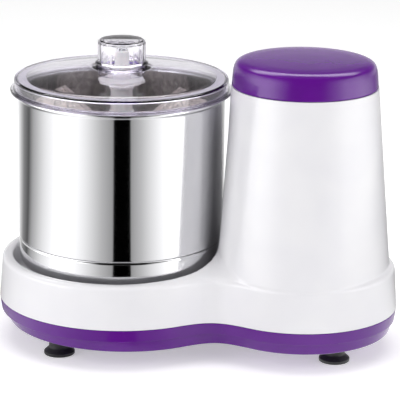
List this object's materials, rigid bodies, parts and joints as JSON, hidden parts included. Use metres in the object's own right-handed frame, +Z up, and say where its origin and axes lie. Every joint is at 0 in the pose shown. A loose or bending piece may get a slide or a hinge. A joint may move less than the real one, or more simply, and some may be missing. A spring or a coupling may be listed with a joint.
{
  "type": "wet grinder",
  "caption": "Table-top wet grinder: a clear-lidded steel drum with granite roller stones, turned by a belt from the motor in the tower beside it.",
  "frame": {"origin": "on the worktop under the middle of the object's length and depth", "axes": "+X from the drum towards the motor tower, -Y towards the user, +Z up"},
  "size_m": [0.4072, 0.2476, 0.309],
  "materials": {
    "white_plastic": "gloss white ABS",
    "purple_plastic": "gloss violet ABS",
    "black_rubber": "matte",
    "black_plastic": "satin",
    "steel": "polished stainless steel",
    "machined_steel": "satin",
    "granite": "ground granite, matte",
    "white_nylon": "satin",
    "clear_plastic": "clear polycarbonate, gloss",
    "aluminium": "cast, satin",
    "capacitor_can": "pressed can over a wound plastic film core",
    "laminations": "stacked steel sheet",
    "copper": "enamelled copper wire"
  },
  "bodies": {
    "base": {"base_tray": "purple_plastic", "foot_front_left": "black_rubber", "foot_rear_left": "black_rubber", "foot_front_right": "black_rubber", "foot_rear_right": "black_rubber", "casing": "white_plastic", "tower_cap": "purple_plastic", "casing_screw_1": "machined_steel", "casing_screw_2": "machined_steel", "casing_screw_3": "machined_steel", "casing_screw_4": "machined_steel", "casing_screw_5": "machined_steel", "casing_screw_6": "machined_steel", "centre_shaft": "steel", "shaft_nut": "machined_steel", "hub_bearing_lower": "machined_steel", "hub_bearing_upper": "machined_steel", "hub_circlip": "machined_steel", "drive_belt": "black_rubber", "well_seal": "black_rubber", "motor_plate": "machined_steel", "motor_screw_1": "machined_steel", "motor_screw_2": "machined_steel", "motor_screw_3": "machined_steel", "motor_screw_4": "machined_steel", "motor_cover_lower": "aluminium", "motor_cover_upper": "aluminium", "motor_stator": "laminations", "motor_winding_lower": "copper", "motor_winding_upper": "copper", "motor_bearing_lower": "machined_steel", "motor_bearing_upper": "machined_steel", "capacitor": "capacitor_can", "terminal_block": "black_plastic", "cord_gland": "black_rubber", "switch_housing": "black_plastic"},
    "hub": {"drive_pulley": "aluminium", "drive_coupler": "black_plastic"},
    "motor_rotor_set": {"motor_shaft": "machined_steel", "motor_rotor": "laminations", "motor_fan": "black_plastic", "motor_pulley": "aluminium"},
    "rocker": {"switch_rocker": "black_plastic"},
    "drum_set": {"drum": "steel", "base_stone": "granite", "drum_tube": "steel", "drum_coupler": "black_plastic"},
    "bush": {"tube_bush": "white_nylon"},
    "stone_carrier": {"stone_sleeve": "white_nylon", "stone_axle_left": "steel", "stone_axle_right": "steel", "axle_cap_left": "white_nylon", "axle_cap_right": "white_nylon"},
    "roller_left": {"stone_bush_left": "white_nylon", "stone_left": "granite"},
    "roller_right": {"stone_bush_right": "white_nylon", "stone_right": "granite"},
    "lock": {"lock_knob": "white_nylon"},
    "lid_set": {"lid": "clear_plastic", "lid_knob": "clear_plastic"}
  },
  "joints": [
    {"name": "drum_spin", "type": "hinge", "parent": "base", "child": "hub", "pos_m": [-0.0794, 0, 0.04], "axis": [0, 0, 1], "continuous": true},
    {"name": "motor_spin", "type": "hinge", "parent": "base", "child": "motor_rotor_set", "pos_m": [0.1056, 0, 0.092], "axis": [0, 0, 1], "continuous": true},
    {"name": "switch_tilt", "type": "hinge", "parent": "base", "child": "rocker", "pos_m": [0.1056, 0.09008, 0.15027], "axis": [1, 0, 0], "range_deg": [-16, 0]},
    {"name": "drum_lift", "type": "slide", "parent": "hub", "child": "drum_set", "axis": [0, 0, 1], "range_m": [0, 0.25]},
    {"name": "carrier_stay", "type": "hinge", "parent": "drum_set", "child": "bush", "pos_m": [-0.0794, 0, 0.231], "axis": [0, 0, 1], "continuous": true},
    {"name": "stones_lift", "type": "slide", "parent": "bush", "child": "stone_carrier", "axis": [0, 0, 1], "range_m": [0, 0.14]},
    {"name": "roller_left_roll", "type": "hinge", "parent": "stone_carrier", "child": "roller_left", "pos_m": [-0.0794, 0, 0.1955], "axis": [-0.9903, -0.1392, 0], "continuous": true},
    {"name": "roller_right_roll", "type": "hinge", "parent": "stone_carrier", "child": "roller_right", "pos_m": [-0.0794, 0, 0.1955], "axis": [0.9903, 0.1392, 0], "continuous": true},
    {"name": "lock_lift", "type": "slide", "parent": "stone_carrier", "child": "lock", "axis": [0, 0, 1], "range_m": [0, 0.06]},
    {"name": "lid_lift", "type": "slide", "parent": "lock", "child": "lid_set", "axis": [0, 0, 1], "range_m": [0, 0.1]}
  ],
  "couplings": [
    {"joint": "motor_spin", "follows": "drum_spin", "ratio": 8.5},
    {"joint": "carrier_stay", "follows": "drum_spin", "ratio": -1},
    {"joint": "roller_left_roll", "follows": "drum_spin", "ratio": 0.9206},
    {"joint": "roller_right_roll", "follows": "drum_spin", "ratio": 0.9206}
  ]
}
